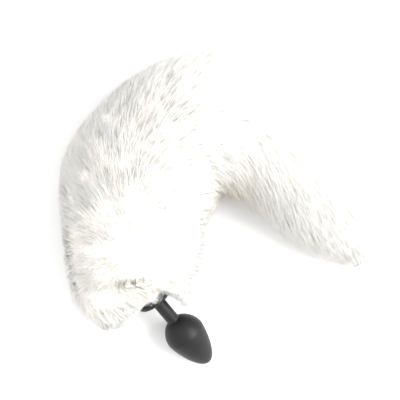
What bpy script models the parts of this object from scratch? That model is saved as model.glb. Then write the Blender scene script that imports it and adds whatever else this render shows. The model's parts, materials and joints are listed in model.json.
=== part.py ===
# A white fox tail on a soft silicone plug, lying on a table as it comes to rest by itself.
# Metres, +Z up. Seen from above, the bulb points down and to the right, and the tail leaves the plug's
# base upwards and hooks over clockwise. The origin is on the table, under the middle of the object.
# Pieces: the plug (bulb, neck and base in one moulding), a hidden stud, and the fur tail.

import math
import random

import bmesh
import bpy
import numpy as np
from mathutils import Matrix, Vector

# Plug
BULB_DIAMETER = 0.034
BULB_LENGTH = 0.052
BULB_SHOULDER = 0.018      # from the neck to the bulb's widest ring
NECK_DIAMETER = 0.011
NECK_LENGTH = 0.0245
NECK_FILLET = 0.0018
BASE_DIAMETER = 0.033
BASE_THICKNESS = 0.005
BASE_EDGE_RADIUS = 0.0018
SHOULDER_POWER = 1.8       # 2 is an ellipse, and less is leaner
TAPER_POWER = 1.3
SHOULDER_CROWDING = 1.4    # 1 spaces the shoulder's rings evenly, and more crowds them where it is widest
TAPER_CROWDING = 1.25      # the same for the taper

# How the plug lies
PLUG_DIP = math.radians(22.0)         # the bulb's end points down to the table
PLUG_BEARING = math.radians(-51.4)    # the bulb's direction seen from above, from +X

# Stud, hidden between the plug and the tail
STUD_DIAMETER = 0.0055
STUD_IN_PLUG = 0.012
STUD_HEAD_DIAMETER = 0.009
STUD_IN_TAIL = 0.034
STUD_CHAMFER = 0.0008
FIT_GAP = 0.0003

# Fur tail
INSIDE_LENGTH = 0.180      # along the inside edge of the bend, from the root section to the tip
TAIL_WIDTH = 0.134
TAIL_HEIGHT = 0.088
ROOT_SIDE = 0.0125         # the root section's middle, left of the plug's base
ROOT_BEHIND = 0.0065       # and behind the base's back face
BELLY_SHARE = 0.42         # height of the fur's widest line, as a share of the section's height
BELLY_PRESS = 1.16         # how far the fur would reach down without the table, as a share of that
SEAT_CLEARANCE = 0.0015    # round the base, in the dent that it sits in
SEAT_TOP_BACK = 0.0045     # how far the fur's upper edge stays behind the base's back face
LOBE_LEFT = 0.0245         # fur that stands forward beside the base
LOBE_RIGHT = 0.0195
LOBE_TOP = -0.002          # above the base it falls back a little, so that the base's edge shows
LOBE_UNDER = 0.012
LOBE_SPREAD = 2.2          # more keeps the side lobes nearer the table's level
LOBE_TURN = 3.0            # more turns them sooner from the plug's way to the tail's own way

# The tail's sections, from its root to its tip. Along is the share of the way, the heading is in degrees
# from +X, and pace is how fast the inside edge runs there, against its mean. Outer and inner are half widths
# as shares of TAIL_WIDTH, and height is a share of TAIL_HEIGHT.
SECTION_COLUMNS = ("along", "heading", "pace", "outer", "inner", "height")
SECTIONS = (
    (0.000, 94.0, 1.62, 0.402, 0.366, 0.77),
    (0.060, 91.0, 1.60, 0.424, 0.404, 0.93),
    (0.170, 85.0, 1.30, 0.462, 0.428, 0.99),
    (0.255, 71.0, 0.65, 0.488, 0.460, 1.00),
    (0.345, 48.0, 0.27, 0.456, 0.456, 1.00),
    (0.425, 25.0, 0.20, 0.446, 0.448, 1.00),
    (0.505, 2.0, 0.25, 0.450, 0.448, 0.98),
    (0.590, -21.0, 0.26, 0.406, 0.448, 0.96),
    (0.665, -43.0, 0.65, 0.354, 0.440, 0.93),
    (0.770, -54.0, 1.58, 0.294, 0.388, 0.86),
    (0.850, -57.0, 1.75, 0.234, 0.335, 0.76),
    (0.925, -60.0, 1.72, 0.176, 0.258, 0.62),
    (0.970, -63.0, 1.72, 0.126, 0.182, 0.48),
    (1.000, -66.0, 1.75, 0.060, 0.085, 0.32),
)

# Locks that the fur falls into
LOCK_ROWS = 9
LOCKS_AROUND = 13
LOCK_LENGTH = 0.068
LOCK_RISE = 0.0065         # how far a lock's end stands off the lock under it
LOCK_DRIFT = 0.16          # radians that a lock leans to the side of the tail along its length
LOCK_TAPER = 0.80          # how much of its width a lock has lost at its end
LOCK_HALF_WIDTH = 0.62     # share of the space between two locks' middles
LOCK_START_SPREAD = 0.18   # how far the locks' starts, sides and lengths vary, as shares
LOCK_SIDE_SPREAD = 0.22
LOCK_LENGTH_SPREAD = 0.12
ROOT_LOCK_LENGTH = 0.050
TIP_FADE = 0.06            # share of the length over which the locks run out into the tip
LOCK_SEED = 11

# Fineness
TURNED_SEGMENTS = 32
BULB_ROWS = 14
FUR_SEGMENTS = 64
FUR_ROWS = 44
LOBE_ROWS = 9
ROW_CROWDING = 0.12        # 0 spaces the rows evenly, and more crowds them towards the tip
ROUND_STEPS = 3            # in each rounded edge of the plug
SMOOTH_ANGLE = math.radians(40)
SPINE_STEPS = 700
TIP_ROUND = 0.5            # of a row's step, from the last ring to the tip's point

# Finishes: colour, roughness, metallic
SILICONE = ((0.018, 0.018, 0.020), 0.62, 0.0)
STUD_PLASTIC = ((0.62, 0.61, 0.58), 0.45, 0.0)
FUR = ((0.90, 0.885, 0.85), 0.90, 0.0)


def clear_scene():
    for obj in list(bpy.data.objects):
        bpy.data.objects.remove(obj, do_unlink=True)


def make_material(name, finish):
    colour, roughness, metallic = finish
    material = bpy.data.materials.new(name)
    material.use_nodes = True
    shader = material.node_tree.nodes["Principled BSDF"]
    shader.inputs["Base Color"].default_value = (*colour, 1.0)
    shader.inputs["Roughness"].default_value = roughness
    shader.inputs["Metallic"].default_value = metallic
    return material


def lie_of_plug(seat_height):
    """The plug's frame: +Z runs from the base's back face to the bulb's end, +X is level, +Y is upward."""
    bulb_way = Vector((
        math.cos(PLUG_DIP) * math.cos(PLUG_BEARING),
        math.cos(PLUG_DIP) * math.sin(PLUG_BEARING),
        -math.sin(PLUG_DIP),
    ))
    level_way = Vector((-math.sin(PLUG_BEARING), math.cos(PLUG_BEARING), 0.0))
    raised_way = bulb_way.cross(level_way)
    turn = Matrix((level_way, raised_way, bulb_way)).transposed().to_4x4()
    return Matrix.Translation((0.0, 0.0, seat_height)) @ turn


def arc(centre, radius, first, last, steps):
    """Points (radius, along) on a round of a turned profile, angles in degrees from the radial way."""
    angles = np.radians(np.linspace(first, last, steps + 1))
    return [(centre[0] + radius * math.cos(a), centre[1] + radius * math.sin(a)) for a in angles]


def bulb_profile():
    """The bulb from the neck to its end: a full round shoulder, then a longer, leaner taper."""
    radius = BULB_DIAMETER / 2
    neck_share = NECK_DIAMETER / BULB_DIAMETER
    shoulder_start = (1 - neck_share**2) ** (1 / SHOULDER_POWER)
    steps = np.linspace(0.0, 1.0, BULB_ROWS + 1)
    points = []
    for share in steps[:-1]:
        back = shoulder_start * (1 - share) ** SHOULDER_CROWDING
        points.append((radius * math.sqrt(1 - back**SHOULDER_POWER), BULB_SHOULDER * (1 - back)))
    taper = BULB_LENGTH - BULB_SHOULDER
    for share in steps[:-1]:
        ahead = math.sin(share * math.pi / 2) ** TAPER_CROWDING
        points.append((radius * math.sqrt(1 - ahead**TAPER_POWER), BULB_SHOULDER + taper * ahead))
    points.append((0.0, BULB_LENGTH))
    joint = BASE_THICKNESS + NECK_LENGTH
    return [(r, joint + along) for r, along in points]


def plug_profile():
    """The moulding's half section, from the bottom of the stud's hole, over the base, to the bulb's end."""
    hole = STUD_DIAMETER / 2 + FIT_GAP
    depth = STUD_IN_PLUG + FIT_GAP
    base = BASE_DIAMETER / 2
    edge = BASE_EDGE_RADIUS
    neck = NECK_DIAMETER / 2
    points = [(0.0, depth), (hole, depth), (hole, 0.0)]
    points += arc((base - edge, edge), edge, -90, 0, ROUND_STEPS)
    points += arc((base - edge, BASE_THICKNESS - edge), edge, 0, 90, ROUND_STEPS)
    fillet_centre = (neck + NECK_FILLET, BASE_THICKNESS + NECK_FILLET)
    points += arc(fillet_centre, NECK_FILLET, -90, -180, ROUND_STEPS)
    points.append((neck, BASE_THICKNESS + NECK_LENGTH / 2))
    return points + bulb_profile()


def stud_profile():
    """The stud's half section: its thin end in the plug, and its thicker head in the tail."""
    thin = STUD_DIAMETER / 2
    thick = STUD_HEAD_DIAMETER / 2
    chamfer = STUD_CHAMFER
    seat = -FIT_GAP
    head_end = seat - STUD_IN_TAIL
    return [
        (0.0, head_end),
        (thick - chamfer, head_end),
        (thick, head_end + chamfer),
        (thick, seat),
        (thin, seat),
        (thin, STUD_IN_PLUG - chamfer),
        (thin - chamfer, STUD_IN_PLUG),
        (0.0, STUD_IN_PLUG),
    ]


def closed_rings(name, first_pole, rings, last_pole, material):
    """One closed body: a stack of rings with the same number of points, and a point at either end."""
    count = rings.shape[1]
    points = np.vstack([first_pole, rings.reshape(-1, 3), last_pole])
    last = len(points) - 1
    faces = []
    for j in range(count):
        k = (j + 1) % count
        faces.append((0, 1 + k, 1 + j))
        faces.append((last, last - count + j, last - count + k))
        for i in range(rings.shape[0] - 1):
            low = 1 + i * count
            high = low + count
            faces.append((low + j, low + k, high + k, high + j))
    mesh = bpy.data.meshes.new(name)
    mesh.from_pydata(points.tolist(), [], faces)
    solid = bmesh.new()
    solid.from_mesh(mesh)
    bmesh.ops.recalc_face_normals(solid, faces=solid.faces)
    solid.to_mesh(mesh)
    solid.free()
    mesh.shade_smooth()
    mesh.set_sharp_from_angle(angle=SMOOTH_ANGLE)
    mesh.materials.append(material)
    obj = bpy.data.objects.new(name, mesh)
    bpy.context.collection.objects.link(obj)
    return obj


def turned(name, profile, material):
    """A body turned about its own Z axis, from a profile that starts and ends on the axis."""
    angles = np.arange(TURNED_SEGMENTS) * 2 * math.pi / TURNED_SEGMENTS
    radii = np.array([r for r, _ in profile[1:-1]])[:, None]
    along = np.array([a for _, a in profile[1:-1]])[:, None]
    rings = np.stack(
        [radii * np.cos(angles), radii * np.sin(angles), along + 0 * angles], axis=-1
    )
    first = (0.0, 0.0, profile[0][1])
    last = (0.0, 0.0, profile[-1][1])
    return closed_rings(name, first, rings, last, material)


def section_value(column, at):
    """A column of SECTIONS read at any share of the length, on a smooth curve through its rows."""
    table = np.array(SECTIONS)
    along = table[:, 0]
    values = table[:, SECTION_COLUMNS.index(column)]
    slopes = np.gradient(values, along)
    row = np.clip(np.searchsorted(along, at, side="right") - 1, 0, len(along) - 2)
    span = along[row + 1] - along[row]
    t = (at - along[row]) / span
    return (
        values[row] * (1 + 2 * t) * (1 - t) ** 2
        + slopes[row] * span * t * (1 - t) ** 2
        + values[row + 1] * t**2 * (3 - 2 * t)
        + slopes[row + 1] * span * t**2 * (t - 1)
    )


def spine(at):
    """The tail's middle line in plan, and the distance run along it, at shares of the way.

    Each step is the inside edge's own step, and what the turn adds at the inner half width, so that the
    sections fan out from the bend's crease and never cross there."""
    shares = np.linspace(0.0, 1.0, SPINE_STEPS + 1)
    heading = np.radians(section_value("heading", shares))
    pace = section_value("pace", shares[:-1])
    inner = section_value("inner", shares[:-1]) * TAIL_WIDTH
    step = INSIDE_LENGTH * pace / pace.sum() - inner * np.diff(heading)
    x = np.concatenate([[0.0], np.cumsum(np.cos(heading[:-1]) * step)]) - ROOT_SIDE
    y = np.concatenate([[0.0], np.cumsum(np.sin(heading[:-1]) * step)]) + ROOT_BEHIND
    run = np.concatenate([[0.0], np.cumsum(step)])
    return tuple(np.interp(at, shares, values) for values in (x, y, run))


def tail_rings(at, turn):
    """The tail's plain sections: ovals whose lower side is pressed flat on the table.

    Turn is the angle round a section: 0 on the outside of the bend, a quarter turn on top."""
    x, y, _ = spine(at)
    heading = np.radians(section_value("heading", at))
    outer = section_value("outer", at) * TAIL_WIDTH
    inner = section_value("inner", at) * TAIL_WIDTH
    height = section_value("height", at) * TAIL_HEIGHT
    across = np.cos(turn)[None, :]
    raised = np.sin(turn)[None, :]
    side = np.where(across > 0, outer[:, None], inner[:, None]) * across
    belly = BELLY_SHARE * height[:, None]
    top = (height[:, None] - belly) * raised
    under = BELLY_PRESS * belly * raised
    z = belly + np.where(raised > 0, top, under)
    rings = np.stack([
        x[:, None] - np.sin(heading)[:, None] * side,
        y[:, None] + np.cos(heading)[:, None] * side,
        z,
    ], axis=-1)
    return rings


def seat_ring(lie, radius, along, turn):
    """A ring round the plug's axis, turned so that it meets the tail's sections point for point."""
    local = np.stack([
        -radius * np.cos(turn),
        radius * np.sin(turn),
        along + 0 * turn,
    ], axis=-1)
    frame = np.array(lie)
    return local @ frame[:3, :3].T + frame[:3, 3]


def lobe_rings(seat, root, turn, bulb_way):
    """The fur round the base. It swells forward from the seat and turns back into the root section.

    Next to the base, on its inner side, it runs the way of the plug, to stay clear of the base's rim."""
    sideways = np.cos(turn)
    upward = np.sin(turn)
    reach = (
        np.where(sideways > 0, LOBE_LEFT, LOBE_RIGHT) * np.abs(sideways) ** LOBE_SPREAD
        + np.where(upward > 0, LOBE_TOP, LOBE_UNDER) * upward**2
    )
    heading = np.radians(section_value("heading", np.array([0.0])))[0]
    tail_way = -np.array([math.cos(heading), math.sin(heading), 0.0])
    share = (np.arange(LOBE_ROWS) + 1.0) / (LOBE_ROWS + 1)
    blend = ((1 - np.cos(math.pi * share)) / 2)[:, None, None]
    swell = (np.sin(math.pi * share)[:, None] * reach[None, :])[:, :, None]
    bulb_share = (1 - blend) ** LOBE_TURN * (1 - np.maximum(sideways, 0.0))[None, :, None]
    forward = np.array(bulb_way) * bulb_share + tail_way * (1 - bulb_share)
    return seat * (1 - blend) + root * blend + swell * forward


def lock_height(run, turn, length_of_tail):
    """How high the locks stand, as a share of LOCK_RISE, at each distance and angle round the tail.

    Each lock rises along its length and narrows to its end, and the highest lock is the one that shows."""
    draw = random.Random(LOCK_SEED)
    pitch = 2 * math.pi / LOCKS_AROUND
    sides = -np.cos(turn) * np.sign(np.sin(turn))
    height = np.zeros_like(run)
    starts = [(row * length_of_tail / LOCK_ROWS, LOCK_LENGTH, 1.0) for row in range(-1, LOCK_ROWS)]
    starts += [(0.5 * ROOT_LOCK_LENGTH, ROOT_LOCK_LENGTH, -1.0), (0.0, ROOT_LOCK_LENGTH, -1.0)]
    for row, (start, length, way) in enumerate(starts):
        for lock in range(LOCKS_AROUND):
            begin = start + draw.uniform(-LOCK_START_SPREAD, LOCK_START_SPREAD) * length
            sideways = draw.uniform(-LOCK_SIDE_SPREAD, LOCK_SIDE_SPREAD)
            centre = (lock + 0.5 * (row % 2) + sideways) * pitch
            full = length * (1 + draw.uniform(-LOCK_LENGTH_SPREAD, LOCK_LENGTH_SPREAD))
            share = np.clip((run - begin) * way / full, 0.0, 1.0)
            inside = (share > 0.0) & (share < 1.0)
            middle = centre + LOCK_DRIFT * sides * share
            half = LOCK_HALF_WIDTH * pitch * (1 - LOCK_TAPER * share**3)
            off = (turn - middle + math.pi) % (2 * math.pi) - math.pi
            ridge = np.clip(1 - (off / half) ** 2, 0.0, 1.0)
            height = np.maximum(height, np.where(inside, share * ridge, 0.0))
    return height


def outward(rings):
    """Unit vectors square to a stack of rings, pointing out of it."""
    along = np.gradient(rings, axis=0)
    around = (np.roll(rings, -1, axis=1) - np.roll(rings, 1, axis=1)) / 2
    normal = np.cross(around, along)
    return normal / np.maximum(np.linalg.norm(normal, axis=2, keepdims=True), 1e-9)


def room_for_locks(rings):
    """1 where neighbouring sections lie well apart, and less in the bend's crease, where they crowd."""
    step = np.linalg.norm(np.diff(rings, axis=0), axis=2)
    step = np.vstack([step, step[-1:]])
    return np.clip(step / np.median(step), 0.0, 1.0)


def fur_tail(lie, material):
    turn = np.arange(FUR_SEGMENTS) * 2 * math.pi / FUR_SEGMENTS
    share = np.linspace(0.0, 1.0, FUR_ROWS + 1)
    at = share + ROW_CROWDING * np.sin(math.pi * share) * share * (1 - share)
    tail = tail_rings(at, turn)
    seat_radius = BASE_DIAMETER / 2 + SEAT_CLEARANCE
    seat_along = -FIT_GAP - SEAT_TOP_BACK * np.maximum(np.sin(turn), 0.0) ** 2
    seat = seat_ring(lie, seat_radius, seat_along, turn)
    lobes = lobe_rings(seat, tail[0], turn, lie.col[2].xyz)
    fur = np.concatenate([lobes, tail])
    spacing = np.linalg.norm(np.diff(fur, axis=0), axis=2)
    run = np.vstack([np.zeros(FUR_SEGMENTS), np.cumsum(spacing, axis=0)])
    run -= run[LOBE_ROWS]
    spine_run = spine(at)[2]
    run[LOBE_ROWS:] = spine_run[:, None]
    around = turn[None, :] + 0 * run
    rise = LOCK_RISE * lock_height(run, around, spine_run[-1]) * room_for_locks(fur)
    lobe_share = np.arange(len(fur)) / LOBE_ROWS
    seat_fade = np.clip(2 * lobe_share - 1, 0.0, 1.0)[:, None]
    tip_fade = np.concatenate([np.ones(LOBE_ROWS), np.clip((1 - at) / TIP_FADE, 0.0, 1.0)])[:, None]
    fur = fur + outward(fur) * (rise * seat_fade * tip_fade)[:, :, None]
    fur[:, :, 2] = np.maximum(fur[:, :, 2], 0.0)
    hole = STUD_HEAD_DIAMETER / 2 + FIT_GAP
    hole_end = -STUD_IN_TAIL - 2 * FIT_GAP
    inside = np.stack([
        seat_ring(lie, hole, hole_end, turn),
        seat_ring(lie, hole, -FIT_GAP, turn),
        seat,
    ])
    rings = np.concatenate([inside, fur])
    bottom = np.array(lie @ Vector((0.0, 0.0, hole_end)))
    tip = rings[-1].mean(axis=0) + TIP_ROUND * (rings[-1].mean(axis=0) - rings[-2].mean(axis=0))
    return closed_rings("tail_fur", bottom, rings, tip, material)


def build():
    clear_scene()
    profile = plug_profile()
    seat_height = max(a * math.sin(PLUG_DIP) + r * math.cos(PLUG_DIP) for r, a in profile)
    lie = lie_of_plug(seat_height)
    plug = turned("plug", profile, make_material("black_silicone", SILICONE))
    plug.matrix_world = lie
    stud = turned("tail_stud", stud_profile(), make_material("stud_plastic", STUD_PLASTIC))
    stud.matrix_world = lie
    tail = fur_tail(lie, make_material("white_fur", FUR))
    bpy.context.view_layer.update()
    pieces = (plug, stud, tail)
    corners = np.array([p.matrix_world @ v.co for p in pieces for v in p.data.vertices])
    middle = (corners.min(axis=0) + corners.max(axis=0)) / 2
    holder = bpy.data.objects.new("origin_on_table", None)
    bpy.context.collection.objects.link(holder)
    for piece in pieces:
        piece.parent = holder
    holder.location = (-middle[0], -middle[1], 0.0)
    bpy.context.view_layer.update()


build()
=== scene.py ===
import json
import math

import bpy
import numpy as np
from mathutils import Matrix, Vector


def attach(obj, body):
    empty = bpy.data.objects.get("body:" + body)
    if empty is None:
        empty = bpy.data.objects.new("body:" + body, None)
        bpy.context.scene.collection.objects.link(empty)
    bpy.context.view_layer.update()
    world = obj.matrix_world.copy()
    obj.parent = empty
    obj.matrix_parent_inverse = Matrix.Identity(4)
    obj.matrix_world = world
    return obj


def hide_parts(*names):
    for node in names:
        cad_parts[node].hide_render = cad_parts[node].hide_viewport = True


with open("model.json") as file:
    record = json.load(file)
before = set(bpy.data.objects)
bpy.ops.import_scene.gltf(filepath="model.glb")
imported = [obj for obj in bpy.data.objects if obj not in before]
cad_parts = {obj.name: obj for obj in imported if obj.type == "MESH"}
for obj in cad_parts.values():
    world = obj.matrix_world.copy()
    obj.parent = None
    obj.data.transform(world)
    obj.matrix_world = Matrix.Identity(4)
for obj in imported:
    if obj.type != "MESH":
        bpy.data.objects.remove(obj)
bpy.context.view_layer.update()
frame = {"nodes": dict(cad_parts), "record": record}
print("frame loaded:", ", ".join(sorted(frame["nodes"])))

# Camera straight above the table, as in the photo. Lengths in metres, +Z up.
cameraView = {
    "above": (-0.0131, 0.0057, 1.2),
    "seenWidth": 0.328,       # what the frame spans at the tail's middle height
    "middleHeight": 0.045,
    "sensor": 36.0,
}


def makeCamera(view):
    data = bpy.data.cameras.new("cameraAbove")
    data.sensor_width = view["sensor"]
    data.lens = view["sensor"] * (view["above"][2] - view["middleHeight"]) / view["seenWidth"]
    data.clip_end = 20.0
    camera = bpy.data.objects.new("cameraAbove", data)
    camera.location = view["above"]
    bpy.context.collection.objects.link(camera)
    bpy.context.scene.camera = camera


makeCamera(cameraView)


# The plug's place, read from the frame
def plugLie():
    # The bulb's way is the axis of the base's front face. The seat, the middle of the base's back face,
    # is one plug length behind the bulb's end. The level way lies flat, and the raised way points upwards.
    face = next(m for m in frame["record"]["mounts"] if m["name"] == "base_front_face")
    bulbWay = np.array(face["axis"]) / np.linalg.norm(face["axis"])
    mesh = frame["nodes"]["plug"].data
    points = np.empty(3 * len(mesh.vertices))
    mesh.vertices.foreach_get("co", points)
    points = points.reshape(-1, 3)
    along = points @ bulbWay
    seat = points[along.argmax()] - bulbWay * np.ptp(along)
    levelWay = np.cross((0.0, 0.0, 1.0), bulbWay)
    levelWay /= np.linalg.norm(levelWay)
    return seat, levelWay, np.cross(bulbWay, levelWay), bulbWay


seat, levelWay, raisedWay, bulbWay = plugLie()


def aroundPlug(radius, along, turn):
    # A point round the plug's axis: seat + along * bulb way - radius cos(turn) * level way
    # + radius sin(turn) * raised way, so that a quarter turn is the upper side.
    return (
        seat
        - (radius * np.cos(turn))[..., None] * levelWay
        + (radius * np.sin(turn))[..., None] * raisedWay
        + (along + 0 * turn)[..., None] * bulbWay
    )


# The coat's outer form
coatForm = {
    "insideLength": 0.180,    # along the inside edge of the bend
    "tailWidth": 0.134,
    "tailHeight": 0.088,
    "rootSide": 0.0125,       # the root section's middle, left of the seat and behind it
    "rootBehind": 0.0065,
    "bellyShare": 0.42,       # height of the widest line, as a share of the section's height
    "bellyPress": 1.16,
    "seatRadius": 0.018,
    "seatTopBack": 0.0045,    # how far the coat's upper edge stays behind the base
    "lobeLeft": 0.0245,       # fur that stands forward beside the base
    "lobeRight": 0.0195,
    "lobeTop": -0.002,
    "lobeUnder": 0.012,
    "lobeSpread": 2.2,
    "lobeTurn": 3.0,          # how soon the lobes turn from the plug's way to the tail's
    "lobeRun": 0.056,         # how long the way round the lobes counts, from the base to the root section
    "tipReach": 0.007,        # past the last section, where the coat runs out
}

# The tail's sections from its root to its tip. Heading is in degrees from +X, pace is the inside edge's
# speed against its mean, outer and inner are shares of tailWidth, and height is a share of tailHeight.
sectionColumns = ("along", "heading", "pace", "outer", "inner", "height")
sectionTable = np.array([
    (0.000, 94.0, 1.62, 0.402, 0.366, 0.77),
    (0.060, 91.0, 1.60, 0.424, 0.404, 0.93),
    (0.170, 85.0, 1.30, 0.462, 0.428, 0.99),
    (0.255, 71.0, 0.65, 0.502, 0.460, 1.00),
    (0.345, 48.0, 0.27, 0.456, 0.456, 1.00),
    (0.425, 25.0, 0.20, 0.446, 0.448, 1.00),
    (0.505, 2.0, 0.25, 0.450, 0.448, 0.98),
    (0.590, -21.0, 0.26, 0.406, 0.448, 0.96),
    (0.665, -43.0, 0.65, 0.354, 0.440, 0.93),
    (0.770, -54.0, 1.58, 0.294, 0.388, 0.86),
    (0.850, -57.0, 1.75, 0.234, 0.335, 0.76),
    (0.925, -60.0, 1.72, 0.164, 0.258, 0.62),
    (0.970, -63.0, 1.72, 0.108, 0.182, 0.48),
    (1.000, -66.0, 1.75, 0.050, 0.085, 0.32),
])


def sectionValue(column, at):
    # A smooth curve through the table's rows: cubic pieces whose slopes are the rows' mean slopes.
    along = sectionTable[:, 0]
    values = sectionTable[:, sectionColumns.index(column)]
    slopes = np.gradient(values, along)
    row = np.clip(np.searchsorted(along, at, side="right") - 1, 0, len(along) - 2)
    span = along[row + 1] - along[row]
    t = (at - along[row]) / span
    return (
        values[row] * (1 + 2 * t) * (1 - t) ** 2
        + slopes[row] * span * t * (1 - t) ** 2
        + values[row + 1] * t**2 * (3 - 2 * t)
        + slopes[row + 1] * span * t**2 * (t - 1)
    )


def spineTable(steps=700):
    # The middle line in plan is the sum of small steps along the heading. Each is the inside edge's own
    # step, and the turn times the inner half width, so that the sections fan out from the bend's crease.
    shares = np.linspace(0.0, 1.0, steps + 1)
    heading = np.radians(sectionValue("heading", shares))
    pace = sectionValue("pace", shares[:-1])
    inner = sectionValue("inner", shares[:-1]) * coatForm["tailWidth"]
    step = coatForm["insideLength"] * pace / pace.sum() - inner * np.diff(heading)
    x = np.concatenate([[0.0], np.cumsum(np.cos(heading[:-1]) * step)]) - coatForm["rootSide"]
    y = np.concatenate([[0.0], np.cumsum(np.sin(heading[:-1]) * step)]) + coatForm["rootBehind"]
    run = np.concatenate([[0.0], np.cumsum(step)])
    return shares, x + seat[0], y + seat[1], run


spineShares, spineX, spineY, spineRun = spineTable()
tailLength = spineRun[-1]
coatRun = coatForm["lobeRun"] + tailLength


def tailPoint(at, turn):
    # An oval round the middle line, pressed flat on the table: outer or inner half width times cos(turn)
    # sideways, and the belly's height plus the upper or lower part times sin(turn). Past the last section
    # it goes straight on while the oval shrinks to nothing.
    inside = np.clip(at, 0.0, 1.0)
    past = np.maximum(at - 1.0, 0.0) * tailLength
    shrink = np.sqrt(np.clip(1.0 - (past / coatForm["tipReach"]) ** 2, 0.0, 1.0))
    heading = np.radians(sectionValue("heading", inside))
    outer = sectionValue("outer", inside) * coatForm["tailWidth"] * shrink
    inner = sectionValue("inner", inside) * coatForm["tailWidth"] * shrink
    height = sectionValue("height", inside) * coatForm["tailHeight"]
    across, raised = np.cos(turn), np.sin(turn)
    side = np.where(across > 0, outer, inner) * across
    belly = coatForm["bellyShare"] * height
    rise = np.where(raised > 0, height - belly, coatForm["bellyPress"] * belly) * raised
    x = np.interp(inside, spineShares, spineX) + np.cos(heading) * past - np.sin(heading) * side
    y = np.interp(inside, spineShares, spineY) + np.sin(heading) * past + np.cos(heading) * side
    return np.stack([x, y, np.maximum(belly + rise * shrink, 0.0)], axis=-1)


def lobePoint(share, turn):
    # From the ring round the base, share 0, to the root section, share 1, by a cosine blend, swollen
    # forward by sin(pi * share) times the reach at that side. The ring stays behind the base's upper rim
    # by the square of sin(turn). Below 0 it runs on past the base's rim.
    sideways, upward = np.cos(turn), np.sin(turn)
    reach = (
        np.where(sideways > 0, coatForm["lobeLeft"], coatForm["lobeRight"])
        * np.abs(sideways) ** coatForm["lobeSpread"]
        + np.where(upward > 0, coatForm["lobeTop"], coatForm["lobeUnder"]) * upward**2
    )
    heading = math.radians(sectionTable[0, 1])
    tailWay = -np.array([math.cos(heading), math.sin(heading), 0.0])
    inside = np.clip(share, 0.0, 1.0)
    blend = ((1 - np.cos(np.pi * inside)) / 2)[..., None]
    swell = (np.sin(np.pi * inside) * reach)[..., None]
    bulbShare = (1 - blend) ** coatForm["lobeTurn"] * (1 - np.maximum(sideways, 0.0))[..., None]
    forward = bulbWay * bulbShare + tailWay * (1 - bulbShare)
    rimAlong = -coatForm["seatTopBack"] * np.maximum(upward, 0.0) ** 2
    rim = aroundPlug(coatForm["seatRadius"] + 0 * turn, rimAlong, turn)
    root = tailPoint(0 * turn, turn)
    over = np.maximum(-share, 0.0)[..., None] * coatForm["lobeRun"] * bulbWay
    point = rim * (1 - blend) + root * blend + swell * forward + over
    point[..., 2] = np.maximum(point[..., 2], 0.0)
    return point


def coatPoint(way, turn):
    # The whole coat, its way in metres from the base: first round the lobes, and then along the tail.
    past = way - coatForm["lobeRun"]
    return np.where(
        (past < 0.0)[..., None],
        lobePoint(way / coatForm["lobeRun"], turn),
        tailPoint(past / tailLength, turn),
    )


def coatGrain(way, turn, nudge=4e-4, turnNudge=2e-3):
    # The surface's two ways, in metres for each unit, and the unit vector square to both, outwards.
    along = (coatPoint(way + nudge, turn) - coatPoint(way - nudge, turn)) / (2 * nudge)
    around = (coatPoint(way, turn + turnNudge) - coatPoint(way, turn - turnNudge)) / (2 * turnNudge)
    normal = np.cross(around, along)
    normal /= np.maximum(np.linalg.norm(normal, axis=-1, keepdims=True), 1e-12)
    return along, around, normal


def halfThickness(way):
    # Half of a section's smaller size, which limits how deep hairs are rooted.
    at = np.clip((way - coatForm["lobeRun"]) / tailLength, 0.0, 1.0)
    width = (sectionValue("outer", at) + sectionValue("inner", at)) * coatForm["tailWidth"]
    return 0.5 * np.minimum(width, sectionValue("height", at) * coatForm["tailHeight"])


def smoothRise(low, high, value):
    # 0 below low, 1 above high, and 3t^2 - 2t^3 between them.
    t = np.clip((value - low) / (high - low), 0.0, 1.0)
    return t * t * (3 - 2 * t)


# Tufts that the hairs gather into
tufts = {
    "pitch": 0.0085,          # from one tuft to the next, along the tail
    "around": 34,
    "jitter": 0.42,
    "gather": 0.46,           # how far a hair's end moves to its tuft's middle
    "seed": 5,
}


def tuftOf(way, turn):
    # The nearest of a grid of points, each moved by a random share of the pitch. Gives that point's way
    # and turn, and three random numbers of its own.
    rows = int(coatRun / tufts["pitch"]) + 4
    random = np.random.default_rng(tufts["seed"])
    shift = random.uniform(-tufts["jitter"], tufts["jitter"], (rows, tufts["around"], 2))
    marks = random.random((rows, tufts["around"], 3))
    p = way / tufts["pitch"] + 1.0
    q = turn / (2 * np.pi) * tufts["around"]
    best = np.full(way.shape, np.inf)
    bestP, bestQ = np.zeros(way.shape), np.zeros(way.shape)
    bestMarks = np.zeros(way.shape + (3,))
    for i in (-1, 0, 1):
        for j in (-1, 0, 1):
            row = np.clip(np.floor(p).astype(int) + i, 0, rows - 1)
            column = np.floor(q).astype(int) + j
            wrapped = column % tufts["around"]
            centreP = row + 0.5 + shift[row, wrapped, 0]
            centreQ = column + 0.5 + shift[row, wrapped, 1]
            distance = (p - centreP) ** 2 + (q - centreQ) ** 2
            nearer = distance < best
            best = np.where(nearer, distance, best)
            bestP = np.where(nearer, centreP, bestP)
            bestQ = np.where(nearer, centreQ, bestQ)
            bestMarks = np.where(nearer[..., None], marks[row, wrapped], bestMarks)
    return (bestP - 1.0) * tufts["pitch"], bestQ / tufts["around"] * 2 * np.pi, bestMarks


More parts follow.
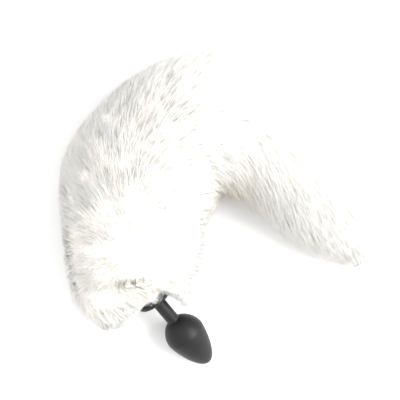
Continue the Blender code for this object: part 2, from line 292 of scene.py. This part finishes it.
# Hairs
hairs = {
    "pieces": ("fur_cuff", "fur_lower", "fur_bend", "fur_upper", "fur_tip"),
    "each": 11000,
    "length": 0.030,
    "lengthSpread": 0.25,
    "rootDepth": 0.014,
    "halfWidth": 0.00030,
    "widths": (1.0, 0.85, 0.55),
    "loft": 0.0014,           # how far the ends stand off the form on average
    "proud": 0.0018,          # and how far they differ from that
    "overRim": 0.0070,        # how far the longest hairs reach on past the coat's edge at the base
    "calmFrom": 0.50,         # share of the coat's way from which it grows smoother, to the tip
    "calmTo": 0.80,
    "raggedReach": 0.0045,    # how far the tufts on the tip's rim stand out
    "points": (0.0, 0.35, 0.7, 1.0),
    "parting": (-0.012, 0.062),  # on the back, from the root section, between hairs to the front and the tip
    "splayPast": (-0.01, 0.0, 0.03, 0.08, 0.14, 0.24, 0.40),
    "splayAngle": (130, 110, 85, 58, 42, 27, 16),
    "bellyShare": 0.35,       # hairs on the pressed belly, against the rest
    "seed": 21,
}


# Patches where a share of the hairs is coloured grey, giving grey strokes among the white ones: their
# middles seen from above, in metres, how far each reaches, and the share of grey hairs in its middle
greyColumns = ("x", "y", "reach", "share")
greyPatches = np.array([
    (-0.025, 0.074, 0.026, 0.20),
    (-0.052, 0.084, 0.022, 0.13),
    (-0.082, 0.086, 0.018, 0.12),
    (-0.003, 0.037, 0.014, 0.20),
    (-0.016, -0.004, 0.016, 0.20),
    (-0.060, 0.013, 0.012, 0.08),
    (-0.104, -0.005, 0.018, 0.10),
    (-0.098, -0.042, 0.012, 0.12),
    (-0.085, -0.086, 0.014, 0.10),
    (-0.021, -0.060, 0.010, 0.06),
])


def greyShare(point):
    # The sum of the patches' bells: share * exp(-(distance / reach)^2), by the distance seen from above.
    x, y, reach, share = greyPatches.T
    distance = np.hypot(point[:, None, 0] - x, point[:, None, 1] - y)
    return (share * np.exp(-((distance / reach) ** 2))).sum(axis=1)


def scatter(random, count, low, high):
    # Random places on the coat between two ways, as many to each area: a fine grid's cells are drawn
    # by their areas, and a place is uniform inside its cell.
    ways = np.linspace(low, high, 161)
    turns = np.linspace(0.0, 2 * np.pi, 129)
    wayMiddle = (ways[:-1] + ways[1:]) / 2
    turnMiddle = (turns[:-1] + turns[1:]) / 2
    way, turn = np.meshgrid(wayMiddle, turnMiddle, indexing="ij")
    along, around, normal = coatGrain(way, turn)
    area = np.linalg.norm(np.cross(along, around), axis=-1)
    area = area * np.where(normal[..., 2] < -0.9, hairs["bellyShare"], 1.0)
    chosen = random.choice(area.size, size=count, p=(area / area.sum()).ravel())
    way = way.ravel()[chosen] + random.uniform(-0.5, 0.5, count) * (ways[1] - ways[0])
    turn = turn.ravel()[chosen] + random.uniform(-0.5, 0.5, count) * (turns[1] - turns[0])
    return way, turn


def hairWay(way, turn):
    # How a hair leans, as shares along the tail and around it: a blend of its lean on the ridge of the
    # back, along the tail, and on the sides, outwards by an angle that opens from the tip to the root.
    # Behind the base the hairs part. In front of that they run forward, over the lobes' crests.
    past = way - coatForm["lobeRun"]
    side = np.abs(np.cos(turn))
    outwards = -np.sign(np.cos(turn)) * np.sign(np.sin(turn))
    angle = np.radians(np.interp(past, hairs["splayPast"], hairs["splayAngle"]))
    ridge = 2 * smoothRise(*hairs["parting"], past) - 1
    mix = side**0.8
    alongShare = (1 - mix) * ridge + mix * np.cos(angle)
    aroundShare = mix * np.sin(angle) * outwards
    share = way / coatForm["lobeRun"]
    lobe = -np.tanh((share - 0.5 * side**1.5) / 0.15)
    inLobe = 1 - smoothRise(0.7, 1.05, share)
    alongShare = alongShare * (1 - inLobe) + lobe * inLobe
    aroundShare = aroundShare * (1 - 0.7 * inLobe)
    size = np.maximum(np.hypot(alongShare, aroundShare), 1.0)
    return alongShare / size, aroundShare / size


def hairPaths(random, way, turn):
    # Four points to a hair. It starts under the form and moves over it by its length times its lean,
    # while its depth falls as (1 - t)^1.5, and it is drawn to its tuft's middle by t^1.5. Towards the tip
    # the top grows calm, while the tufts on the rim there draw together and stand out.
    count = len(way)
    centreWay, centreTurn, marks = tuftOf(way, turn)
    offTurn = (centreTurn - turn + np.pi) % (2 * np.pi) - np.pi
    spread = 1 + hairs["lengthSpread"] * random.uniform(-1, 1, count)
    thick = halfThickness(way)
    length = np.minimum(hairs["length"] * spread * (0.85 + 0.3 * marks[:, 0]), 2.4 * thick)
    length = length * (0.7 + 0.3 * smoothRise(0.0, coatForm["lobeRun"], way))
    depth = np.minimum(hairs["rootDepth"], 0.55 * thick)
    tipward = smoothRise(hairs["calmFrom"], hairs["calmTo"], way / coatRun)
    onTop = smoothRise(0.1, 0.6, np.sin(turn))
    onRim = smoothRise(0.8, 0.97, way / coatRun) * smoothRise(0.55, 0.9, np.cos(turn))
    lively = 1 - 0.7 * tipward * onTop
    proud = random.uniform(-1.0, 1.0, count) + 1.2 * (marks[:, 1] - 0.5)
    proud = hairs["loft"] + hairs["proud"] * proud * lively
    proud = proud * smoothRise(0.1, 0.5, way / coatForm["lobeRun"])
    proud = proud + hairs["raggedReach"] * onRim * np.maximum(marks[:, 1] - 0.4, 0.0)
    wander = (random.normal(0.0, 0.10, count) + 0.35 * (marks[:, 2] - 0.5)) * lively
    gather = tufts["gather"] * random.uniform(0.6, 1.1, count) * lively + 0.3 * onRim
    reachOver = hairs["overRim"] * random.random(count) ** 1.6 * (0.3 + 0.7 * np.maximum(np.sin(turn), 0.0))
    path = []
    normals = []
    nowWay, nowTurn = way.copy(), turn.copy()
    for k, share in enumerate(hairs["points"]):
        if k:
            along, around, _ = coatGrain(nowWay, nowTurn)
            leanAlong, leanAround = hairWay(nowWay, nowTurn)
            bent = wander * (1.0 if k > 1 else 0.5)
            leanAlong, leanAround = (
                leanAlong * np.cos(bent) - leanAround * np.sin(bent),
                leanAlong * np.sin(bent) + leanAround * np.cos(bent),
            )
            step = length * (share - hairs["points"][k - 1])
            nowWay = nowWay + step * leanAlong / np.maximum(np.linalg.norm(along, axis=-1), 0.35)
            nowTurn = nowTurn + step * leanAround / np.maximum(np.linalg.norm(around, axis=-1), 0.012)
        pull = gather * share**1.5
        atWay = np.clip(
            nowWay + pull * (centreWay - way), -reachOver, coatRun + 0.97 * coatForm["tipReach"]
        )
        atTurn = nowTurn + pull * offTurn
        _, _, normal = coatGrain(np.clip(atWay, 0.001, coatRun - 0.001), atTurn)
        out = proud * share - depth * (1 - share) ** 1.5
        path.append(coatPoint(atWay, atTurn) + normal * out[:, None])
        normals.append(normal)
    return np.stack(path, axis=1), np.stack(normals, axis=1), marks


def hairMesh(name, path, normals, marks, random):
    # A hair is a three-sided blade: triangles of shrinking width, square to its path, and a point.
    count = len(path)
    tangent = np.gradient(path, axis=1)
    side = np.cross(tangent, normals)
    side /= np.maximum(np.linalg.norm(side, axis=2, keepdims=True), 1e-12)
    up = np.cross(side, tangent)
    up /= np.maximum(np.linalg.norm(up, axis=2, keepdims=True), 1e-12)
    width = hairs["halfWidth"] * np.array(hairs["widths"])[None, :, None, None]
    width = width * random.uniform(0.75, 1.2, count)[:, None, None, None]
    corner = np.radians([90.0, 210.0, 330.0])[None, None, :, None]
    rings = path[:, :3, None, :] + width * (
        np.cos(corner) * side[:, :3, None, :] + np.sin(corner) * up[:, :3, None, :]
    )
    points = np.concatenate([rings.reshape(count, 9, 3), path[:, 3:4]], axis=1)
    points[..., 2] = np.maximum(points[..., 2], 0.0002)
    quads = [(3 * k + j, 3 * k + (j + 1) % 3, 3 * k + 3 + (j + 1) % 3, 3 * k + 3 + j)
             for k in range(2) for j in range(3)]
    ends = [(6 + j, 6 + (j + 1) % 3, 9) for j in range(3)] + [(2, 1, 0)]
    corners = np.array([c for face in quads + ends for c in face])
    sizes = np.array([4] * 6 + [3] * 4)
    loops = (corners[None, :] + 10 * np.arange(count)[:, None]).ravel()
    totals = np.tile(sizes, count)
    starts = np.concatenate([[0], np.cumsum(totals)[:-1]])
    mesh = bpy.data.meshes.new(name)
    mesh.vertices.add(10 * count)
    mesh.vertices.foreach_set("co", points.ravel())
    mesh.loops.add(len(loops))
    mesh.loops.foreach_set("vertex_index", loops)
    mesh.polygons.add(len(totals))
    mesh.polygons.foreach_set("loop_start", starts)
    mesh.polygons.foreach_set("loop_total", totals)
    mesh.polygons.foreach_set("use_smooth", np.ones(len(totals), bool))
    mesh.update(calc_edges=True)
    share = np.tile(np.repeat(hairs["points"], [3, 3, 3, 1]), count)
    tone = np.repeat(random.random(count) * 0.6 + 0.4 * marks[:, 1], 10)
    grey = np.repeat(random.random(count) < greyShare(path[:, 2]), 10)
    for label, values in (("hairShare", share), ("hairTone", tone), ("greyHair", grey)):
        layer = mesh.attributes.new(label, "FLOAT", "POINT")
        layer.data.foreach_set("value", values.astype(np.float32))
    mesh.uv_layers.new(name="OFBake").data.foreach_set("uv", hairCells(count).ravel())
    mesh.validate()
    piece = bpy.data.objects.new(name, mesh)
    bpy.context.collection.objects.link(piece)
    return piece


def hairCells(count):
    # Each hair has a square cell of the map. Its three sides stand side by side there, root below.
    cells = math.ceil(math.sqrt(count))
    rows = (0.08, 0.38, 0.68, 0.92)
    columns = (0.08, 0.36, 0.64, 0.92)
    quads = [[(columns[j], rows[k]), (columns[j + 1], rows[k]), (columns[j + 1], rows[k + 1]),
              (columns[j], rows[k + 1])] for k in range(2) for j in range(3)]
    ends = [[(columns[j], rows[2]), (columns[j + 1], rows[2]), ((columns[j] + columns[j + 1]) / 2, rows[3])]
            for j in range(3)]
    cap = [[(0.45, 0.01), (0.55, 0.01), (0.50, 0.06)]]
    spots = np.array([spot for face in quads + ends + cap for spot in face])
    number = np.arange(count)
    corner = np.stack([number % cells, number // cells], axis=-1)
    return (corner[:, None, :] + spots[None, :, :]) / cells


# Under coat
underCoat = {
    "depth": 0.0052,
    "relief": 0.0015,
    "rows": 200,
    "segments": 150,
    "holeRadius": 0.0048,     # round the stud that joins the tail to the plug
    "holeDepth": 0.0346,
}


def makeUnderCoat():
    # The coat's form, sunk by a depth that grows from nothing at the base, with a soft relief that is
    # highest in the middle of each tuft. Rings from the stud's hole to the tip, closed by two poles.
    ways = np.linspace(0.0, coatRun, underCoat["rows"])
    turns = np.arange(underCoat["segments"]) * 2 * np.pi / underCoat["segments"]
    way, turn = np.meshgrid(ways, turns, indexing="ij")
    centreWay, centreTurn, marks = tuftOf(way, turn)
    along, around, normal = coatGrain(np.clip(way, 0.001, coatRun - 0.001), turn)
    offWay = (way - centreWay) * np.linalg.norm(along, axis=-1)
    offTurn = ((turn - centreTurn + np.pi) % (2 * np.pi) - np.pi) * np.linalg.norm(around, axis=-1)
    near = np.exp(-(offWay**2 + offTurn**2) / (0.6 * tufts["pitch"]) ** 2)
    depth = underCoat["depth"] - underCoat["relief"] * near * (0.5 + marks[..., 0])
    depth = np.minimum(depth, 0.42 * halfThickness(way)) * smoothRise(0.0, 0.3, way / coatForm["lobeRun"])
    rings = coatPoint(way, turn) - normal * depth[..., None]
    rings[..., 2] = np.maximum(rings[..., 2], 0.0)
    hole = underCoat["holeRadius"] + 0 * turns
    inside = np.stack([aroundPlug(hole, -underCoat["holeDepth"], turns), aroundPlug(hole, -0.0003, turns)])
    rings = np.concatenate([inside, rings])
    bottom = seat - bulbWay * underCoat["holeDepth"]
    tip = rings[-1].mean(axis=0) + 0.4 * (rings[-1].mean(axis=0) - rings[-6].mean(axis=0))
    return ringMesh("under_coat", bottom, rings, tip)


def ringMesh(name, firstPole, rings, lastPole):
    # Rings of as many points each, joined by four-sided faces, and a fan to a pole at either end.
    rows, count = rings.shape[:2]
    points = np.vstack([firstPole, rings.reshape(-1, 3), lastPole])
    j = np.arange(count)
    k = (j + 1) % count
    low = (1 + count * np.arange(rows - 1))[:, None]
    quads = np.stack([low + j, low + k, low + count + k, low + count + j], axis=-1).reshape(-1, 4)
    last = len(points) - 1
    first = np.stack([np.zeros_like(j), 1 + k, 1 + j], axis=-1)
    end = np.stack([np.full_like(j, last), last - count + j, last - count + k], axis=-1)
    faces = first.tolist() + end.tolist() + quads.tolist()
    mesh = bpy.data.meshes.new(name)
    mesh.from_pydata(points.tolist(), [], faces)
    mesh.validate()
    mesh.shade_smooth()
    piece = bpy.data.objects.new(name, mesh)
    bpy.context.collection.objects.link(piece)
    return piece


# The plug
plugForm = {
    "bulbDiameter": 0.034,
    "bulbLength": 0.052,
    "bulbShoulder": 0.018,
    "shoulderPower": 1.8,
    "taperPower": 1.3,
    "neckDiameter": 0.011,
    "neckLength": 0.0245,
    "neckFillet": 0.0018,
    "baseDiameter": 0.033,
    "baseThickness": 0.005,
    "baseEdge": 0.0018,
    "holeDiameter": 0.0061,
    "holeDepth": 0.0123,
    "segments": 96,
    "arcSteps": 10,
    "bulbRows": 36,
}


def arcPoints(middle, radius, first, last, steps):
    # Points on a round of the profile: middle + radius * (cos, sin) of angles from first to last.
    angles = np.radians(np.linspace(first, last, steps + 1))
    return np.stack([middle[0] + radius * np.cos(angles), middle[1] + radius * np.sin(angles)], axis=-1)


def plugProfile(form):
    # Distance from the axis against distance along it. The shoulder's radius is R sqrt(1 - b^1.8), where
    # b runs back from the widest ring, and the taper's is R sqrt(1 - a^1.3), where a runs ahead to the end.
    radius, neck, base = form["bulbDiameter"] / 2, form["neckDiameter"] / 2, form["baseDiameter"] / 2
    edge, thick, fillet = form["baseEdge"], form["baseThickness"], form["neckFillet"]
    back = (1 - (neck / radius) ** 2) ** (1 / form["shoulderPower"])
    back = back * (1 - np.linspace(0.0, 1.0, form["bulbRows"])[:-1]) ** 1.4
    ahead = np.sin(np.linspace(0.0, 1.0, form["bulbRows"] + 12)[:-1] * np.pi / 2) ** 1.25
    shoulder = np.stack([
        radius * np.sqrt(1 - back ** form["shoulderPower"]),
        form["bulbShoulder"] * (1 - back),
    ], axis=-1)
    taper = np.stack([
        radius * np.sqrt(1 - ahead ** form["taperPower"]),
        form["bulbShoulder"] + (form["bulbLength"] - form["bulbShoulder"]) * ahead,
    ], axis=-1)
    joint = np.array([0.0, thick + form["neckLength"]])
    hole = form["holeDiameter"] / 2
    neckRun = np.linspace(thick + fillet, thick + form["neckLength"], 6)[1:-1]
    return np.concatenate([
        [(hole, form["holeDepth"]), (hole, 0.0)],
        arcPoints((base - edge, edge), edge, -90, 0, form["arcSteps"]),
        arcPoints((base - edge, thick - edge), edge, 0, 90, form["arcSteps"]),
        arcPoints((neck + fillet, thick + fillet), fillet, -90, -180, form["arcSteps"]),
        np.stack([neck + 0 * neckRun, neckRun], axis=-1),
        shoulder + joint,
        taper + joint,
    ])


def makePlug():
    # The profile turned about the plug's axis.
    profile = plugProfile(plugForm)
    turns = np.arange(plugForm["segments"]) * 2 * np.pi / plugForm["segments"]
    radius, turn = np.meshgrid(profile[:, 0], turns, indexing="ij")
    along = np.repeat(profile[:, 1][:, None], len(turns), axis=1)
    rings = aroundPlug(radius, along, turn)
    bottom = seat + bulbWay * plugForm["holeDepth"]
    length = plugForm["baseThickness"] + plugForm["neckLength"] + plugForm["bulbLength"]
    piece = ringMesh("silicone_plug", bottom, rings, seat + bulbWay * length)
    piece.data.set_sharp_from_angle(angle=math.radians(35))
    return piece


# Finishes
def newFinish(name):
    finish = bpy.data.materials.new(name)
    finish.use_nodes = True
    nodes = finish.node_tree.nodes
    return finish, nodes, finish.node_tree.links, nodes["Principled BSDF"]


def noiseOn(nodes, links, scale, detail=3.0):
    place = nodes.new("ShaderNodeTexCoord")
    noise = nodes.new("ShaderNodeTexNoise")
    noise.inputs["Scale"].default_value = scale
    noise.inputs["Detail"].default_value = detail
    links.new(place.outputs["Object"], noise.inputs["Vector"])
    return noise.outputs["Fac"]


def spread(nodes, links, value, fromLow, fromHigh, toLow, toHigh):
    node = nodes.new("ShaderNodeMapRange")
    limits = {"From Min": fromLow, "From Max": fromHigh, "To Min": toLow, "To Max": toHigh}
    for label, number in limits.items():
        node.inputs[label].default_value = number
    links.new(value, node.inputs["Value"])
    return node.outputs["Result"]


def blendColours(nodes, links, factor, first, second, mode="MIX"):
    node = nodes.new("ShaderNodeMix")
    node.data_type = "RGBA"
    node.blend_type = mode
    for socket, value in ((node.inputs[6], first), (node.inputs[7], second)):
        if isinstance(value, tuple):
            socket.default_value = (*value, 1.0)
        else:
            links.new(value, socket)
    if isinstance(factor, float):
        node.inputs[0].default_value = factor
    else:
        links.new(factor, node.inputs[0])
    return node.outputs[2]


furColours = {
    "root": (0.87, 0.84, 0.78),
    "end": (0.955, 0.95, 0.935),
    "cream": (0.94, 0.915, 0.85),
    # the tan of the painted crease shade, partly the inner fur's own warmer colour
    "tan": (0.60, 0.53, 0.41),
    "grey": (0.42, 0.41, 0.40),
    "underDull": (0.84, 0.81, 0.74),
    "underBright": (0.92, 0.90, 0.86),
    "creaseShadeSpots": (             # painted shade, warm tan like the inner fur, in the bend's crease and along the inner edge: middle, near and far reach, strength
        ((0.0165, 0.0150, 0.040), 0.004, 0.050, 0.75),
        ((-0.0120, -0.0080, 0.040), 0.002, 0.026, 0.35),
    ),
}


def paintCreaseShade(nodes, links, colour, middle, near, far, strength):
    # Painted shade, warm tan like the inner fur, over the colour round one place: strength * (1 - share of
    # the way from near to far)^2.
    place = nodes.new("ShaderNodeTexCoord")
    distance = nodes.new("ShaderNodeVectorMath")
    distance.operation = "DISTANCE"
    distance.inputs[1].default_value = middle
    links.new(place.outputs["Object"], distance.inputs[0])
    fade = spread(nodes, links, distance.outputs["Value"], near, far, math.sqrt(strength), 0.0)
    power = nodes.new("ShaderNodeMath")
    power.operation = "POWER"
    power.inputs[1].default_value = 2.0
    links.new(fade, power.inputs[0])
    return blendColours(nodes, links, power.outputs["Value"], colour, furColours["tan"])


def hairFinish():
    finish, nodes, links, shader = newFinish("white_hair")
    share = nodes.new("ShaderNodeAttribute")
    share.attribute_name = "hairShare"
    tone = nodes.new("ShaderNodeAttribute")
    tone.attribute_name = "hairTone"
    grey = nodes.new("ShaderNodeAttribute")
    grey.attribute_name = "greyHair"
    colour = blendColours(nodes, links, share.outputs["Fac"], furColours["root"], furColours["end"])
    patches = spread(nodes, links, noiseOn(nodes, links, 26.0), 0.42, 0.68, 0.0, 0.55)
    colour = blendColours(nodes, links, patches, colour, furColours["cream"])
    # Painted shade, warm tan, in the bend's crease and along the inner edge
    for spot in furColours["creaseShadeSpots"]:
        colour = paintCreaseShade(nodes, links, colour, *spot)
    dull = spread(nodes, links, tone.outputs["Fac"], 0.0, 0.14, 0.22, 0.0)
    colour = blendColours(nodes, links, dull, colour, furColours["grey"])
    dark = spread(nodes, links, grey.outputs["Fac"], 0.0, 1.0, 0.0, 0.85)
    colour = blendColours(nodes, links, dark, colour, furColours["grey"])
    links.new(colour, shader.inputs["Base Color"])
    rough = spread(nodes, links, noiseOn(nodes, links, 900.0), 0.3, 0.7, 0.5, 0.7)
    links.new(rough, shader.inputs["Roughness"])
    shader.inputs["Sheen Weight"].default_value = 0.15
    shader.inputs["Sheen Roughness"].default_value = 0.5
    return finish


def underFinish():
    finish, nodes, links, shader = newFinish("cream_under_coat")
    fine = spread(nodes, links, noiseOn(nodes, links, 700.0, 5.0), 0.3, 0.7, 0.0, 1.0)
    colour = blendColours(nodes, links, fine, furColours["underDull"], furColours["underBright"])
    # Painted shade, warm tan, in the bend's crease and along the inner edge, as on the hairs
    for spot in furColours["creaseShadeSpots"]:
        colour = paintCreaseShade(nodes, links, colour, *spot)
    links.new(colour, shader.inputs["Base Color"])
    bump = nodes.new("ShaderNodeBump")
    bump.inputs["Strength"].default_value = 0.6
    bump.inputs["Distance"].default_value = 0.001
    links.new(fine, bump.inputs["Height"])
    links.new(bump.outputs["Normal"], shader.inputs["Normal"])
    shader.inputs["Roughness"].default_value = 0.85
    return finish


siliconeLook = {
    "dull": (0.010, 0.010, 0.011),
    "bright": (0.014, 0.014, 0.015),
    "roughness": (0.44, 0.54),
    "specular": 0.25,
}


def siliconeFinish():
    finish, nodes, links, shader = newFinish("matt_black_silicone")
    cloud = spread(nodes, links, noiseOn(nodes, links, 60.0), 0.35, 0.65, 0.0, 1.0)
    colour = blendColours(nodes, links, cloud, siliconeLook["dull"], siliconeLook["bright"])
    links.new(colour, shader.inputs["Base Color"])
    grain = noiseOn(nodes, links, 2600.0, 2.0)
    links.new(spread(nodes, links, grain, 0.3, 0.7, *siliconeLook["roughness"]), shader.inputs["Roughness"])
    shader.inputs["Specular IOR Level"].default_value = siliconeLook["specular"]
    bump = nodes.new("ShaderNodeBump")
    bump.inputs["Strength"].default_value = 0.08
    bump.inputs["Distance"].default_value = 0.0002
    links.new(grain, bump.inputs["Height"])
    links.new(bump.outputs["Normal"], shader.inputs["Normal"])
    return finish


studLook = {
    "dull": (0.60, 0.59, 0.56),
    "bright": (0.66, 0.65, 0.62),
    "roughness": 0.45,
}


def studFinish():
    finish, nodes, links, shader = newFinish("pale_plastic")
    cloud = spread(nodes, links, noiseOn(nodes, links, 180.0), 0.35, 0.65, 0.0, 1.0)
    colour = blendColours(nodes, links, cloud, studLook["dull"], studLook["bright"])
    links.new(colour, shader.inputs["Base Color"])
    shader.inputs["Roughness"].default_value = studLook["roughness"]
    return finish


# Making the pieces
hairStuff = hairFinish()


def makeHairPieces():
    # Five stretches of the tail with as much area each, so that the coat is as thick everywhere.
    random = np.random.default_rng(hairs["seed"])
    ways = np.linspace(0.0, coatRun, 401)
    turns = np.linspace(0.0, 2 * np.pi, 65)[:-1]
    way, turn = np.meshgrid((ways[:-1] + ways[1:]) / 2, turns, indexing="ij")
    along, around, _ = coatGrain(way, turn)
    area = np.linalg.norm(np.cross(along, around), axis=-1).sum(axis=1)
    share = np.concatenate([[0.0], np.cumsum(area)]) / area.sum()
    limits = np.interp(np.linspace(0.0, 1.0, len(hairs["pieces"]) + 1), share, ways)
    for name, low, high in zip(hairs["pieces"], limits[:-1], limits[1:]):
        way, turn = scatter(random, hairs["each"], low, high)
        path, normals, marks = hairPaths(random, way, turn)
        piece = hairMesh(name, path, normals, marks, random)
        piece.data.materials.append(hairStuff)
        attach(piece, "root")
        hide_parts("tail_fur")
        print("hairs made:", name, len(path), "between", round(low, 3), "and", round(high, 3))


underPiece = makeUnderCoat()
underPiece.data.materials.append(underFinish())
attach(underPiece, "root")
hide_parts("tail_fur")
print("under coat made:", len(underPiece.data.polygons), "faces")

makeHairPieces()

plugPiece = makePlug()
plugPiece.data.materials.append(siliconeFinish())
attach(plugPiece, "root")
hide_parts("plug")
print("plug made:", len(plugPiece.data.polygons), "faces")

stud = frame["nodes"]["tail_stud"]
stud.data.materials.clear()
stud.data.materials.append(studFinish())

# Table and light
studio = {
    "tableSize": 6.0,
    "tableDull": (0.93, 0.93, 0.93),
    "tableBright": (0.95, 0.95, 0.95),
    "tableRoughness": 0.9,
    "skyStrength": 1.22,
    "key": {"place": (1.2, 0.1, 1.2), "size": 1.1, "watts": 44.0},
    "fill": {"place": (-1.3, 0.4, 1.3), "size": 1.4, "watts": 3.0},
}


def makeTable():
    half = studio["tableSize"] / 2
    mesh = bpy.data.meshes.new("table_top")
    corners = [(-half, -half, 0), (half, -half, 0), (half, half, 0), (-half, half, 0)]
    mesh.from_pydata(corners, [], [(0, 1, 2, 3)])
    table = bpy.data.objects.new("table_top", mesh)
    finish, nodes, links, shader = newFinish("pale_table")
    cloud = spread(nodes, links, noiseOn(nodes, links, 3.0), 0.3, 0.7, 0.0, 1.0)
    colour = blendColours(nodes, links, cloud, studio["tableDull"], studio["tableBright"])
    links.new(colour, shader.inputs["Base Color"])
    shader.inputs["Roughness"].default_value = studio["tableRoughness"]
    mesh.materials.append(finish)
    bpy.context.collection.objects.link(table)


def makeLights():
    world = bpy.data.worlds.new("paleRoom")
    world.use_nodes = True
    world.node_tree.nodes["Background"].inputs["Color"].default_value = (1.0, 1.0, 1.0, 1.0)
    world.node_tree.nodes["Background"].inputs["Strength"].default_value = studio["skyStrength"]
    bpy.context.scene.world = world
    for label in ("key", "fill"):
        light = bpy.data.lights.new(label, "AREA")
        light.size = studio[label]["size"]
        light.energy = studio[label]["watts"]
        lamp = bpy.data.objects.new(label, light)
        lamp.location = studio[label]["place"]
        lamp.rotation_euler = (-Vector(studio[label]["place"])).to_track_quat("-Z", "Y").to_euler()
        bpy.context.collection.objects.link(lamp)
    bpy.context.scene.view_settings.view_transform = "Standard"


makeTable()
makeLights()
print("table and light made")
